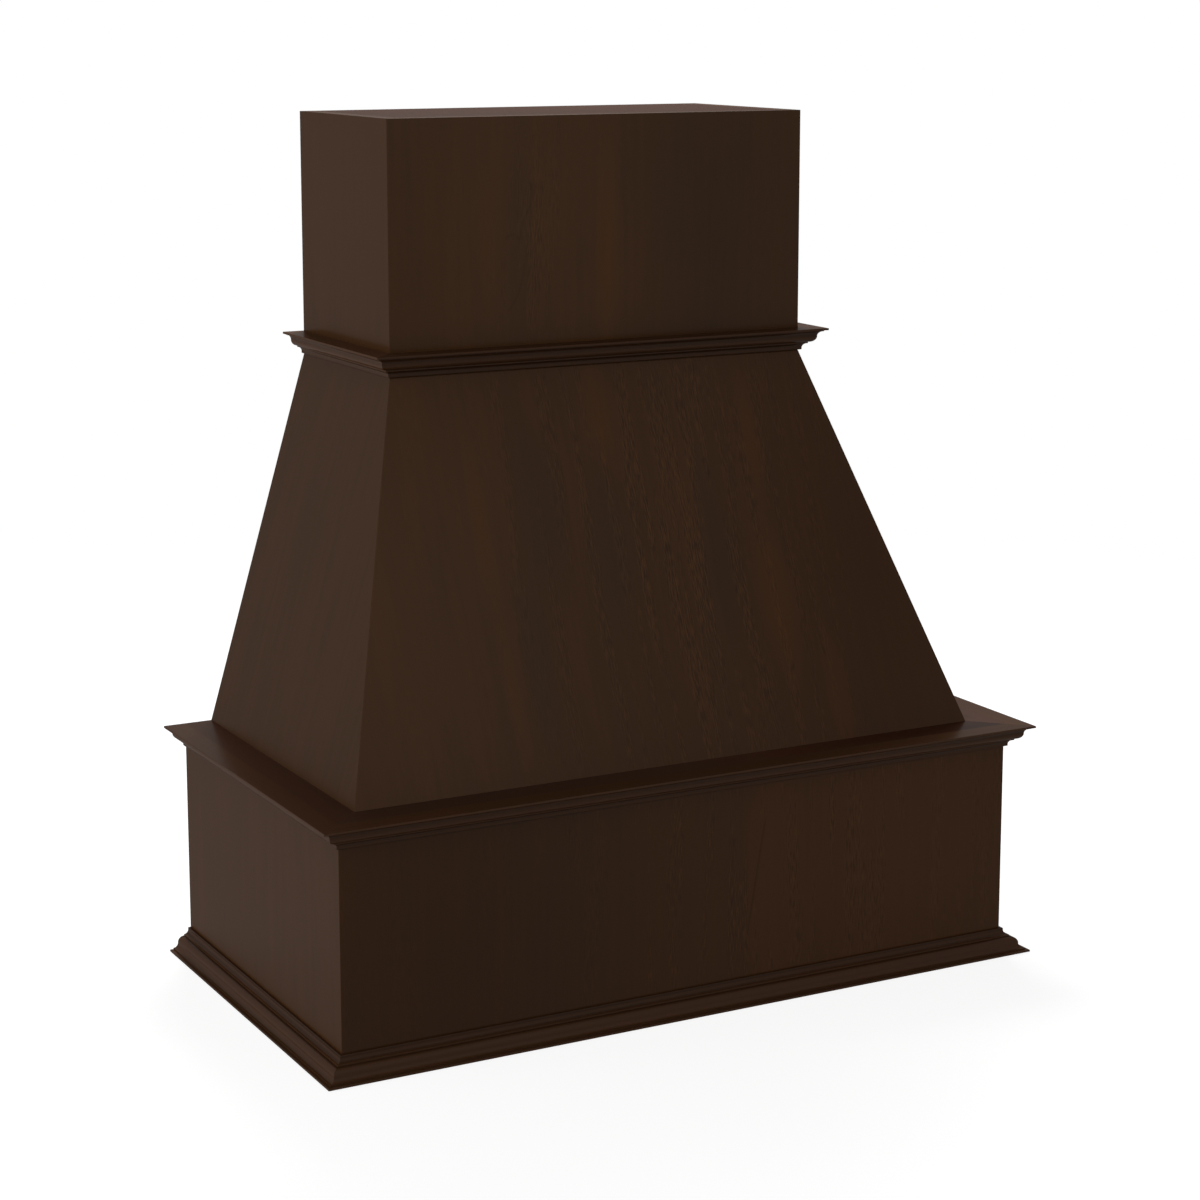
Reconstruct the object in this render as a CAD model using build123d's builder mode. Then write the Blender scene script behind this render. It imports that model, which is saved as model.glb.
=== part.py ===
from build123d import *

import os
from math import atan, cos, radians, tan

# A wooden range hood cover that hangs on a wall over a cooker. From the bottom up it is an apron box
# with a base moulding, a flat shelf edged by a crown moulding, a canopy that tapers at the front and
# both sides, a second crown moulding, and a chimney box with a closed top. The back is open to the
# wall, and the apron is open below, where a ventilator insert goes in.
#
# +Z is up, +Y points to the wall and +X to the right of someone facing the front. The origin is at
# the bottom, in the middle of the hood's outer box. All sizes are in millimetres.

# The box shapes
apron_width = 914.4  # over both side faces, to suit a 36 in range
apron_depth = 495.3  # from the wall to the front face
apron_height = 279.4  # up to the underside of the shelf
shelf_ledge = 34.925  # flat shelf between the apron's faces and the foot of the canopy
shelf_board_width = 88.9  # each shelf board, from the apron's face inwards
canopy_height = 463.55
chimney_width = 571.5
chimney_depth = 266.7
chimney_height = 304.8

# Board stock
panel = 19.05  # veneered panels and shelf boards
strip = 19.05  # solid strips and rails behind the panels
strip_height = 38.1
rail_height = 88.9
block_leg = 25.4  # legs of the triangular glue blocks in the corners
ledger_setback = 25.4  # from the bottom edge up to the strips that carry the insert
corner_ease = 1.0  # sanded radius of the outer vertical corners

# The moulding's section, from its thin lip to the toe. The projections add up to its reach and the
# heights add up to its height. The same moulding is used lip down at the base and lip up elsewhere.
lip_height = 2.6
lip_overhang = 4.4
quirk_height = 1.5
cove_radius = 6.35
ovolo_radius = 7.95
fillet_step = 0.45
fillet_height = 1.8
small_cove_radius = 5.8
toe_width = 3.6
toe_height = 2.575
toe_ease = 1.0
lip_ease = 0.5

# Countersunk wood screws and the holes that they sit in
screw_shank_radius = 2.1
screw_head_radius = 4.1
screw_tip = 6.0  # length of the pointed end
screw_bite = 12.7  # how far a screw goes into the second piece
recess_width = 0.9
recess_length = 4.4
recess_depth = 1.6
shank_clearance = 0.3
thread_clearance = 0.05
head_clearance = 0.1
tip_clearance = 0.5
countersink_angle = 82
apron_front_count = 4  # screws along each front strip of the apron, and along each side strip
apron_side_count = 3
chimney_front_count = 3
chimney_side_count = 2

# Holes for the screws that hold the hood to the wall studs
stud_spacing = 406.4
wall_hole_rows = 50.8
wall_hole_radius = 3.5

# Worked out from the sizes above
moulding_reach = lip_overhang + cove_radius + ovolo_radius + fillet_step + small_cove_radius + toe_width
moulding_height = (
    lip_height + quirk_height + cove_radius + ovolo_radius + fillet_height + small_cove_radius + toe_height
)
wall = (apron_depth + moulding_reach) / 2
front = wall - apron_depth
chimney_front_face = wall - chimney_depth
shelf_top = apron_height + panel
canopy_top = shelf_top + canopy_height
hood_top = canopy_top + chimney_height
side_lean = atan(((apron_width - chimney_width) / 2 - shelf_ledge) / canopy_height)
front_lean = atan((apron_depth - chimney_depth - shelf_ledge) / canopy_height)
apron_inside_width = apron_width - 2 * panel
chimney_inside_width = chimney_width - 2 * panel
short_screw = strip + screw_bite
shelf_screw = panel + screw_bite
long_screw = strip_height + screw_bite


def canopy_half_width(height, inset=0.0):
    """Half the canopy's width at a height, measured to a surface inset squarely from its side face."""
    return chimney_width / 2 + (canopy_top - height) * tan(side_lean) - inset / cos(side_lean)


def canopy_front_at(height, inset=0.0):
    """Where the canopy's front is at a height, measured to a surface inset squarely from its face."""
    return chimney_front_face - (canopy_top - height) * tan(front_lean) + inset / cos(front_lean)


def mitre_plane(corner, normal):
    """The plane of a left front mitre. The front piece lies on its positive side."""
    return Plane(origin=corner, z_dir=normal)


def mirrored_plane(mitre):
    """The matching right front mitre."""
    origin = mitre.origin
    normal = mitre.z_dir
    return Plane(origin=(-origin.X, origin.Y, origin.Z), z_dir=(-normal.X, normal.Y, normal.Z))


apron_mitre = mitre_plane((-apron_width / 2, front, 0), (1, -1, 0))
chimney_mitre = mitre_plane((-chimney_width / 2, chimney_front_face, 0), (1, -1, 0))

# The canopy's mitre holds its outer corner edge and the matching edge of its inner faces.
canopy_corner = Vector(-canopy_half_width(shelf_top), canopy_front_at(shelf_top), shelf_top)
canopy_corner_edge = Vector(-chimney_width / 2, chimney_front_face, canopy_top) - canopy_corner
canopy_inner_corner = Vector(
    -canopy_half_width(shelf_top, panel), canopy_front_at(shelf_top, panel), shelf_top
)
canopy_mitre = mitre_plane(
    canopy_corner, (canopy_inner_corner - canopy_corner).cross(canopy_corner_edge)
)


def box_shell(width, depth, low, high):
    """Three panels in one piece, open to the wall, with the two outer corners sanded round."""
    with BuildPart() as shell:
        with BuildSketch(Plane.XY.offset(low)) as plan:
            with Locations((0, wall)):
                Rectangle(width, depth, align=(Align.CENTER, Align.MAX))
            fillet(plan.vertices().group_by(Axis.Y)[0], corner_ease)
            with Locations((0, wall)):
                Rectangle(
                    width - 2 * panel, depth - panel, align=(Align.CENTER, Align.MAX), mode=Mode.SUBTRACT
                )
        extrude(amount=high - low)
    return shell.part


def canopy_solid(inset, low, high, ease=0.0):
    """The canopy's tapered form between two heights, inset squarely from its three leaning faces."""
    low_half = canopy_half_width(low, inset)
    high_half = canopy_half_width(high, inset)
    with BuildPart() as solid:
        with BuildSketch(Plane.XZ):
            with BuildLine():
                Polyline((-low_half, low), (low_half, low), (high_half, high), (-high_half, high), close=True)
            make_face()
        extrude(amount=apron_depth, both=True)
        with BuildSketch(Plane.YZ):
            with BuildLine():
                Polyline(
                    (wall, low),
                    (canopy_front_at(low, inset), low),
                    (canopy_front_at(high, inset), high),
                    (wall, high),
                    close=True,
                )
            make_face()
        extrude(amount=apron_width, both=True, mode=Mode.INTERSECT)
        if ease:
            leaning_edges = solid.edges().filter_by(lambda edge: edge.bounding_box().size.Z > panel)
            fillet(leaning_edges.sort_by(Axis.Y)[:2], ease)
    return solid.part


def canopy_layer(outer_inset, inner_inset, low, high, ease=0.0):
    """A layer of the canopy's wall between two insets, in one piece round the front and both sides."""
    with BuildPart() as layer:
        add(canopy_solid(outer_inset, low, high, ease))
        add(canopy_solid(inner_inset, low, high), mode=Mode.SUBTRACT)
    return layer.part


def front_of(shell, mitre):
    """The front piece of a shell, between its two mitres."""
    with BuildPart() as piece:
        add(shell)
        split(bisect_by=mitre, keep=Keep.TOP)
        split(bisect_by=mirrored_plane(mitre), keep=Keep.TOP)
    return piece.part


def left_of(shell, mitre):
    """The left piece of a shell, behind its mitre."""
    with BuildPart() as piece:
        add(shell)
        split(bisect_by=mitre, keep=Keep.BOTTOM)
    return piece.part


def front_strip(width, face, low, height):
    """A strip behind a front panel, whose hidden face is at the y given by face."""
    with BuildPart() as piece:
        with BuildSketch(Plane.XY.offset(low)):
            with Locations((0, face)):
                Rectangle(width, strip, align=(Align.CENTER, Align.MIN))
        extrude(amount=height)
    return piece.part


def left_strip(width, face, low, height):
    """A strip inside a left panel, between the front strip and the rail at the wall."""
    with BuildPart() as piece:
        with BuildSketch(Plane.XY.offset(low)):
            with Locations((-width / 2, face + strip)):
                Rectangle(strip, wall - strip - (face + strip), align=(Align.MIN, Align.MIN))
        extrude(amount=height)
    return piece.part


def rail(width, low, height):
    """A rail across the back, flat on the wall."""
    with BuildPart() as piece:
        with BuildSketch(Plane.XY.offset(low)):
            with Locations((0, wall)):
                Rectangle(width, strip, align=(Align.CENTER, Align.MAX))
        extrude(amount=height)
    return piece.part


def leaning_rail(low, height):
    """A rail across the back of the canopy, cut at its ends to the lean of the sides."""
    with BuildPart() as piece:
        add(canopy_solid(panel, low, low + height))
        split(bisect_by=Plane.XZ.offset(strip - wall), keep=Keep.BOTTOM)
    return piece.part


def corner_block(corner_x, corner_y, low, high):
    """A triangular glue block in the left front corner."""
    with BuildPart() as piece:
        with BuildSketch(Plane.XY.offset(low)):
            with BuildLine():
                Polyline(
                    (corner_x, corner_y),
                    (corner_x + block_leg, corner_y),
                    (corner_x, corner_y + block_leg),
                    close=True,
                )
            make_face()
        extrude(amount=high - low)
    return piece.part


def wood_screw(length):
    """A countersunk screw with a cross recess, head up, with the top of its head at the origin."""
    head_height = (screw_head_radius - screw_shank_radius) / tan(radians(countersink_angle / 2))
    with BuildPart() as screw:
        with BuildSketch(Plane.XZ):
            with BuildLine():
                Polyline(
                    (0, 0),
                    (screw_head_radius, 0),
                    (screw_shank_radius, -head_height),
                    (screw_shank_radius, screw_tip - length),
                    (0, -length),
                    close=True,
                )
            make_face()
        revolve(axis=Axis.Z)
        with BuildSketch():
            Rectangle(recess_length, recess_width)
            Rectangle(recess_width, recess_length)
        extrude(amount=-recess_depth, mode=Mode.SUBTRACT)
    return screw.part


def screw_row(start, end, outward, count):
    """Places spread evenly from start to end, each with its z axis pointing out of the screw's head."""
    run = Vector(*end) - Vector(*start)
    steps = [(number + 0.5) / count for number in range(count)]
    return [Plane(Vector(*start) + run * step, x_dir=run, z_dir=outward).location for step in steps]


def clearance_holes(thickness):
    """Countersunk holes through the piece that a screw draws tight."""
    CounterSinkHole(
        screw_shank_radius + shank_clearance,
        screw_head_radius + head_clearance,
        depth=thickness,
        counter_sink_angle=countersink_angle,
    )


def pilot_holes(length):
    """Blind holes for the screws' points, drilled from the same places as the clearance holes."""
    Hole(screw_shank_radius + thread_clearance, depth=length + tip_clearance)


def right_side(places):
    """The same places on the right side of the hood."""
    return [mirrored_plane(Plane(place)).location for place in places]


def finish(piece, name):
    """Labels a piece and writes it."""
    piece.part.label = name
    export_step(piece.part, f"parts/{name}.step")


os.makedirs("parts", exist_ok=True)

# Where the screws go, in the front strips and in the left ones. The right side mirrors the left.
apron_left_inside = -apron_inside_width / 2
apron_front_inside = front + panel
chimney_left_inside = -chimney_inside_width / 2
chimney_front_inside = chimney_front_face + panel


def side_wall_screws(height):
    """Screws through strips inside the apron, front and left, at one height."""
    face_y = apron_front_inside + strip
    face_x = apron_left_inside + strip
    across_start = (apron_left_inside, face_y, height)
    across_end = (-apron_left_inside, face_y, height)
    back_start = (face_x, face_y, height)
    back_end = (face_x, wall - strip, height)
    return (
        screw_row(across_start, across_end, (0, 1, 0), apron_front_count),
        screw_row(back_start, back_end, (1, 0, 0), apron_side_count),
    )


ledger_front_screws, ledger_left_screws = side_wall_screws(ledger_setback + strip_height / 2)
cleat_front_screws, cleat_left_screws = side_wall_screws(apron_height - strip_height / 2)

# Upright screws from under the shelf into the strips at the canopy's foot
foot_screw_height = shelf_top + screw_bite / 2
foot_screw_y = canopy_front_at(foot_screw_height, panel + strip / 2)
foot_screw_x = -canopy_half_width(foot_screw_height, panel + strip / 2)
foot_front_screws = screw_row(
    (foot_screw_x, foot_screw_y, apron_height),
    (-foot_screw_x, foot_screw_y, apron_height),
    (0, 0, -1),
    apron_front_count,
)
foot_left_screws = screw_row(
    (foot_screw_x, foot_screw_y, apron_height),
    (foot_screw_x, wall - strip, apron_height),
    (0, 0, -1),
    apron_side_count,
)

# Upright screws through the strips at the chimney's foot, down into the strips at the canopy's neck
neck_screw_height = canopy_top + strip_height
neck_screw_y = chimney_front_inside + strip / 2
neck_screw_x = chimney_left_inside + strip / 2
neck_front_screws = screw_row(
    (neck_screw_x, neck_screw_y, neck_screw_height),
    (-neck_screw_x, neck_screw_y, neck_screw_height),
    (0, 0, 1),
    chimney_front_count,
)
neck_left_screws = screw_row(
    (neck_screw_x, chimney_front_inside + strip, neck_screw_height),
    (neck_screw_x, wall - strip, neck_screw_height),
    (0, 0, 1),
    chimney_side_count,
)

# Upright screws through the strips under the top panel, up into the panel
top_screw_height = hood_top - panel - strip_height
top_front_screws = screw_row(
    (neck_screw_x, neck_screw_y, top_screw_height),
    (-neck_screw_x, neck_screw_y, top_screw_height),
    (0, 0, -1),
    chimney_front_count,
)
top_left_screws = screw_row(
    (neck_screw_x, chimney_front_inside + strip, top_screw_height),
    (neck_screw_x, wall - strip, top_screw_height),
    (0, 0, -1),
    chimney_side_count,
)

# Apron: three mitred panels
apron_shell = box_shell(apron_width, apron_depth, 0, apron_height)

with BuildPart() as apron_front:
    add(front_of(apron_shell, apron_mitre))
    with Locations(*ledger_front_screws, *cleat_front_screws):
        pilot_holes(short_screw)
finish(apron_front, "apron_front")

with BuildPart() as apron_left:
    add(left_of(apron_shell, apron_mitre))
    with Locations(*ledger_left_screws, *cleat_left_screws):
        pilot_holes(short_screw)
finish(apron_left, "apron_left")

with BuildPart() as apron_right:
    mirror(apron_left.part, about=Plane.YZ)
finish(apron_right, "apron_right")

# The moulding's section, drawn with x out from the board and y from the lip's outer face to the toe
with BuildSketch() as moulding_section:
    with BuildLine():
        quirk_x = moulding_reach - lip_overhang
        cove_x = quirk_x - cove_radius
        ovolo_x = cove_x - ovolo_radius
        fillet_x = ovolo_x - fillet_step
        toe_x = fillet_x - small_cove_radius
        cove_start = lip_height + quirk_height
        cove_end = cove_start + cove_radius
        ovolo_end = cove_end + ovolo_radius
        fillet_end = ovolo_end + fillet_height
        toe_start = fillet_end + small_cove_radius
        Polyline((toe_x, moulding_height), (0, moulding_height), (0, 0), (moulding_reach, 0))
        Polyline(
            (moulding_reach, 0), (moulding_reach, lip_height), (quirk_x, lip_height), (quirk_x, cove_start)
        )
        RadiusArc((quirk_x, cove_start), (cove_x, cove_end), cove_radius)
        RadiusArc((cove_x, cove_end), (ovolo_x, ovolo_end), -ovolo_radius)
        Polyline((ovolo_x, ovolo_end), (fillet_x, ovolo_end), (fillet_x, fillet_end))
        RadiusArc((fillet_x, fillet_end), (toe_x, toe_start), small_cove_radius)
        Line((toe_x, toe_start), (toe_x, moulding_height))
    make_face()
    lip_corners = moulding_section.vertices().group_by(Axis.X)[-1]
    fillet(lip_corners, lip_ease)
    toe_corner = moulding_section.vertices().group_by(Axis.Y)[-1].sort_by(Axis.X)[-1]
    fillet(toe_corner, toe_ease)


def moulding_set(half_width, front_face, height, lip_up):
    """The front and left lengths of a moulding round a box, mitred at the corner and flush at the wall."""
    rise = -1 if lip_up else 1
    mitre = mitre_plane((-half_width, front_face, 0), (1, -1, 0))
    with BuildPart() as front_length:
        with BuildSketch(Plane((0, front_face, height), x_dir=(0, -1, 0), z_dir=(-rise, 0, 0))):
            add(moulding_section.sketch)
        extrude(amount=half_width + moulding_reach, both=True)
        split(bisect_by=mitre, keep=Keep.TOP)
        split(bisect_by=mirrored_plane(mitre), keep=Keep.TOP)
    with BuildPart() as left_length:
        with BuildSketch(Plane((-half_width, wall, height), x_dir=(-1, 0, 0), z_dir=(0, rise, 0))):
            add(moulding_section.sketch)
        extrude(amount=-rise * (wall - front_face + moulding_reach))
        split(bisect_by=mitre, keep=Keep.BOTTOM)
    return front_length.part, left_length.part


base_front, base_left = moulding_set(apron_width / 2, front, 0, lip_up=False)
middle_front, middle_left = moulding_set(apron_width / 2, front, shelf_top, lip_up=True)
upper_front, upper_left = moulding_set(
    chimney_width / 2, chimney_front_face, canopy_top + moulding_height, lip_up=True
)

with BuildPart() as base_moulding_front:
    add(base_front)
finish(base_moulding_front, "base_moulding_front")

with BuildPart() as base_moulding_left:
    add(base_left)
finish(base_moulding_left, "base_moulding_left")

with BuildPart() as base_moulding_right:
    mirror(base_left, about=Plane.YZ)
finish(base_moulding_right, "base_moulding_right")

with BuildPart() as middle_crown_front:
    add(middle_front)
finish(middle_crown_front, "middle_crown_front")

with BuildPart() as middle_crown_left:
    add(middle_left)
finish(middle_crown_left, "middle_crown_left")

with BuildPart() as middle_crown_right:
    mirror(middle_left, about=Plane.YZ)
finish(middle_crown_right, "middle_crown_right")

with BuildPart() as upper_crown_front:
    add(upper_front)
finish(upper_crown_front, "upper_crown_front")

with BuildPart() as upper_crown_left:
    add(upper_left)
finish(upper_crown_left, "upper_crown_left")

with BuildPart() as upper_crown_right:
    mirror(upper_left, about=Plane.YZ)
finish(upper_crown_right, "upper_crown_right")

# Shelf: three flat boards, mitred, on top of the apron. Their inner edges leave the way up open.
with BuildPart() as shelf_frame:
    with BuildSketch(Plane.XY.offset(apron_height)):
        with Locations((0, wall)):
            Rectangle(apron_width, apron_depth, align=(Align.CENTER, Align.MAX))
            Rectangle(
                apron_width - 2 * shelf_board_width,
                apron_depth - shelf_board_width,
                align=(Align.CENTER, Align.MAX),
                mode=Mode.SUBTRACT,
            )
    extrude(amount=panel)

with BuildPart() as shelf_front:
    add(front_of(shelf_frame.part, apron_mitre))
    with Locations(*foot_front_screws):
        clearance_holes(panel)
finish(shelf_front, "shelf_front")

with BuildPart() as shelf_left:
    add(left_of(shelf_frame.part, apron_mitre))
    with Locations(*foot_left_screws):
        clearance_holes(panel)
finish(shelf_left, "shelf_left")

with BuildPart() as shelf_right:
    mirror(shelf_left.part, about=Plane.YZ)
finish(shelf_right, "shelf_right")

# Canopy: three panels that lean in, with compound mitres at the front corners
canopy_shell = canopy_layer(0, panel, shelf_top, canopy_top, ease=corner_ease)

with BuildPart() as canopy_front:
    add(front_of(canopy_shell, canopy_mitre))
finish(canopy_front, "canopy_front")

with BuildPart() as canopy_left:
    add(left_of(canopy_shell, canopy_mitre))
finish(canopy_left, "canopy_left")

with BuildPart() as canopy_right:
    mirror(canopy_left.part, about=Plane.YZ)
finish(canopy_right, "canopy_right")

# Chimney: three mitred panels and a top panel let in between them
chimney_shell = box_shell(chimney_width, chimney_depth, canopy_top, hood_top)

with BuildPart() as chimney_front:
    add(front_of(chimney_shell, chimney_mitre))
finish(chimney_front, "chimney_front")

with BuildPart() as chimney_left:
    add(left_of(chimney_shell, chimney_mitre))
finish(chimney_left, "chimney_left")

with BuildPart() as chimney_right:
    mirror(chimney_left.part, about=Plane.YZ)
finish(chimney_right, "chimney_right")

with BuildPart() as chimney_top:
    with BuildSketch(Plane.XY.offset(hood_top - panel)):
        with Locations((0, wall)):
            Rectangle(chimney_inside_width, chimney_depth - panel, align=(Align.CENTER, Align.MAX))
    extrude(amount=panel)
    with Locations(*top_front_screws, *top_left_screws, *right_side(top_left_screws)):
        pilot_holes(long_screw)
finish(chimney_top, "chimney_top")

# Rails across the back. The top one and the apron's are drilled for screws into the wall studs.
with BuildPart() as apron_back_rail:
    add(rail(apron_inside_width, apron_height - rail_height, rail_height))
    with Locations(Plane((0, wall, apron_height - rail_height / 2), x_dir=(1, 0, 0), z_dir=(0, 1, 0))):
        with GridLocations(stud_spacing, wall_hole_rows, 2, 2):
            Hole(wall_hole_radius)
finish(apron_back_rail, "apron_back_rail")

with BuildPart() as chimney_back_rail:
    add(rail(chimney_inside_width, hood_top - panel - rail_height, rail_height))
    with Locations(Plane((0, wall, hood_top - panel - rail_height / 2), x_dir=(1, 0, 0), z_dir=(0, 1, 0))):
        with GridLocations(stud_spacing, wall_hole_rows, 2, 2):
            Hole(wall_hole_radius)
finish(chimney_back_rail, "chimney_back_rail")

with BuildPart() as chimney_foot_rail:
    add(rail(chimney_inside_width, canopy_top, rail_height))
finish(chimney_foot_rail, "chimney_foot_rail")

with BuildPart() as canopy_neck_rail:
    add(leaning_rail(canopy_top - rail_height, rail_height))
finish(canopy_neck_rail, "canopy_neck_rail")

with BuildPart() as canopy_foot_rail:
    add(leaning_rail(shelf_top, rail_height))
finish(canopy_foot_rail, "canopy_foot_rail")

# Ledger strips round the bottom of the apron, for the ventilator insert
with BuildPart() as ledger_front:
    add(front_strip(apron_inside_width, apron_front_inside, ledger_setback, strip_height))
    with Locations(*ledger_front_screws):
        clearance_holes(strip)
finish(ledger_front, "ledger_front")

with BuildPart() as ledger_left:
    add(left_strip(apron_inside_width, apron_front_inside, ledger_setback, strip_height))
    with Locations(*ledger_left_screws):
        clearance_holes(strip)
finish(ledger_left, "ledger_left")

with BuildPart() as ledger_right:
    mirror(ledger_left.part, about=Plane.YZ)
finish(ledger_right, "ledger_right")

with BuildPart() as ledger_back:
    add(rail(apron_inside_width, ledger_setback, strip_height))
finish(ledger_back, "ledger_back")

# Cleats under the shelf
with BuildPart() as shelf_cleat_front:
    add(front_strip(apron_inside_width, apron_front_inside, apron_height - strip_height, strip_height))
    with Locations(*cleat_front_screws):
        clearance_holes(strip)
finish(shelf_cleat_front, "shelf_cleat_front")

with BuildPart() as shelf_cleat_left:
    add(left_strip(apron_inside_width, apron_front_inside, apron_height - strip_height, strip_height))
    with Locations(*cleat_left_screws):
        clearance_holes(strip)
finish(shelf_cleat_left, "shelf_cleat_left")

with BuildPart() as shelf_cleat_right:
    mirror(shelf_cleat_left.part, about=Plane.YZ)
finish(shelf_cleat_right, "shelf_cleat_right")

# Strips that lean with the canopy's panels, at its foot and at its neck. They stop at the back rails.
foot_strips = canopy_layer(panel, panel + strip, shelf_top, shelf_top + strip_height)
neck_strips = canopy_layer(panel, panel + strip, canopy_top - strip_height, canopy_top)
rail_face = Plane.XZ.offset(strip - wall)

with BuildPart() as foot_strip_front:
    add(front_of(foot_strips, canopy_mitre))
    with Locations(*foot_front_screws):
        pilot_holes(shelf_screw)
finish(foot_strip_front, "foot_strip_front")

with BuildPart() as foot_strip_left:
    add(left_of(foot_strips, canopy_mitre))
    split(bisect_by=rail_face, keep=Keep.TOP)
    with Locations(*foot_left_screws):
        pilot_holes(shelf_screw)
finish(foot_strip_left, "foot_strip_left")

with BuildPart() as foot_strip_right:
    mirror(foot_strip_left.part, about=Plane.YZ)
finish(foot_strip_right, "foot_strip_right")

with BuildPart() as neck_strip_front:
    add(front_of(neck_strips, canopy_mitre))
    with Locations(*neck_front_screws):
        pilot_holes(long_screw)
finish(neck_strip_front, "neck_strip_front")

with BuildPart() as neck_strip_left:
    add(left_of(neck_strips, canopy_mitre))
    split(bisect_by=rail_face, keep=Keep.TOP)
    with Locations(*neck_left_screws):
        pilot_holes(long_screw)
finish(neck_strip_left, "neck_strip_left")

with BuildPart() as neck_strip_right:
    mirror(neck_strip_left.part, about=Plane.YZ)
finish(neck_strip_right, "neck_strip_right")

# Cleats at the chimney's foot and under its top
with BuildPart() as chimney_cleat_front:
    add(front_strip(chimney_inside_width, chimney_front_inside, canopy_top, strip_height))
    with Locations(*neck_front_screws):
        clearance_holes(strip_height)
finish(chimney_cleat_front, "chimney_cleat_front")

with BuildPart() as chimney_cleat_left:
    add(left_strip(chimney_inside_width, chimney_front_inside, canopy_top, strip_height))
    with Locations(*neck_left_screws):
        clearance_holes(strip_height)
finish(chimney_cleat_left, "chimney_cleat_left")

with BuildPart() as chimney_cleat_right:
    mirror(chimney_cleat_left.part, about=Plane.YZ)
finish(chimney_cleat_right, "chimney_cleat_right")

with BuildPart() as top_cleat_front:
    add(front_strip(chimney_inside_width, chimney_front_inside, top_screw_height, strip_height))
    with Locations(*top_front_screws):
        clearance_holes(strip_height)
finish(top_cleat_front, "top_cleat_front")

with BuildPart() as top_cleat_left:
    add(left_strip(chimney_inside_width, chimney_front_inside, top_screw_height, strip_height))
    with Locations(*top_left_screws):
        clearance_holes(strip_height)
finish(top_cleat_left, "top_cleat_left")

with BuildPart() as top_cleat_right:
    mirror(top_cleat_left.part, about=Plane.YZ)
finish(top_cleat_right, "top_cleat_right")

# Triangular glue blocks in the front corners, each pair between the strips below and above it
with BuildPart() as apron_corner_blocks:
    add(
        corner_block(
            apron_left_inside,
            apron_front_inside,
            ledger_setback + strip_height,
            apron_height - strip_height,
        )
    )
    mirror(about=Plane.YZ)
finish(apron_corner_blocks, "apron_corner_blocks")

with BuildPart() as chimney_corner_blocks:
    add(
        corner_block(
            chimney_left_inside, chimney_front_inside, canopy_top + strip_height, top_screw_height
        )
    )
    mirror(about=Plane.YZ)
finish(chimney_corner_blocks, "chimney_corner_blocks")

# The canopy's blocks follow its leaning corners. Their long face is square to the mitre.
block_normal = canopy_corner_edge.cross(canopy_mitre.z_dir)
block_face = Plane(
    canopy_inner_corner + block_normal.normalized() * (block_leg / 2), z_dir=block_normal
)

with BuildPart() as canopy_corner_blocks:
    add(canopy_solid(panel, shelf_top + strip_height, canopy_top - strip_height))
    split(bisect_by=block_face, keep=Keep.BOTTOM)
    mirror(about=Plane.YZ)
finish(canopy_corner_blocks, "canopy_corner_blocks")


def screw_group(name, length, front_places, left_places):
    """One kind of screw at its front, left and right places."""
    with BuildPart() as group:
        with Locations(*front_places, *left_places, *right_side(left_places)):
            add(wood_screw(length))
    finish(group, name)


screw_group("ledger_screws", short_screw, ledger_front_screws, ledger_left_screws)
screw_group("shelf_cleat_screws", short_screw, cleat_front_screws, cleat_left_screws)
screw_group("foot_screws", shelf_screw, foot_front_screws, foot_left_screws)
screw_group("neck_screws", long_screw, neck_front_screws, neck_left_screws)
screw_group("top_screws", long_screw, top_front_screws, top_left_screws)
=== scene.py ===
from math import atan2, cos, radians, sin

import bpy
from mathutils import Matrix, Vector


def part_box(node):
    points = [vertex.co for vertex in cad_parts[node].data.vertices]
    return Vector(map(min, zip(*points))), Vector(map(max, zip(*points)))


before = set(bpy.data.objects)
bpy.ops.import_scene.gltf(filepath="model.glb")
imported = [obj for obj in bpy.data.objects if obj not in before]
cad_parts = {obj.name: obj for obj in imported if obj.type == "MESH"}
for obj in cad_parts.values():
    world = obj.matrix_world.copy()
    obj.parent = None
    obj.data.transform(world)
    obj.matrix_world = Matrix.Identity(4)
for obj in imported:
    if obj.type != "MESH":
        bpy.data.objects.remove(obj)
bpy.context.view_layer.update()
print("frame loaded with", len(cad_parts), "nodes")

right = Vector((1, 0, 0))
back = Vector((0, 1, 0))  # towards the wall
up = Vector((0, 0, 1))
millimetre = 0.001
noiseSpan = {"low": 0.3, "high": 0.7, "mean": 0.49}  # where most of a noise texture's values lie


def linearColour(hexColour):
    # the linear colour that a shader needs for an sRGB hex value
    channels = [int(hexColour[place:place + 2], 16) / 255 for place in (1, 3, 5)]
    linear = [c / 12.92 if c <= 0.04045 else ((c + 0.055) / 1.055) ** 2.4 for c in channels]
    return (*linear, 1.0)


def grey(level):
    return (level, level, level, 1.0)


def addNode(tree, kind, settings):
    # A setting is a property, or an input by name or number. A node or socket as its value is linked.
    # A colour ramp's stops are pairs of position and colour, and a curve's path is pairs of numbers.
    node = tree.nodes.new("ShaderNode" + kind)
    for key, value in settings.items():
        if key == "stops":
            ramp = node.color_ramp.elements
            ramp[0].position = value[0][0]
            ramp[1].position = value[-1][0]
            for position, colour in value[1:-1]:
                ramp.new(position)
            for element, (position, colour) in zip(ramp, value):
                element.color = colour
        elif key == "path":
            points = node.mapping.curves[0].points
            points[0].location = value[0]
            points[-1].location = value[-1]
            for point in value[1:-1]:
                points.new(*point)
            node.mapping.update()
        elif isinstance(value, bpy.types.Node):
            tree.links.new(value.outputs[0], node.inputs[key])
        elif isinstance(value, bpy.types.NodeSocket):
            tree.links.new(value, node.inputs[key])
        elif isinstance(key, str) and key in node.bl_rna.properties:
            setattr(node, key, value)
        else:
            node.inputs[key].default_value = value
    return node


def startMaterial(name):
    material = bpy.data.materials.new(name)
    material.use_nodes = True
    return material, material.node_tree, material.node_tree.nodes["Principled BSDF"]


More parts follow.
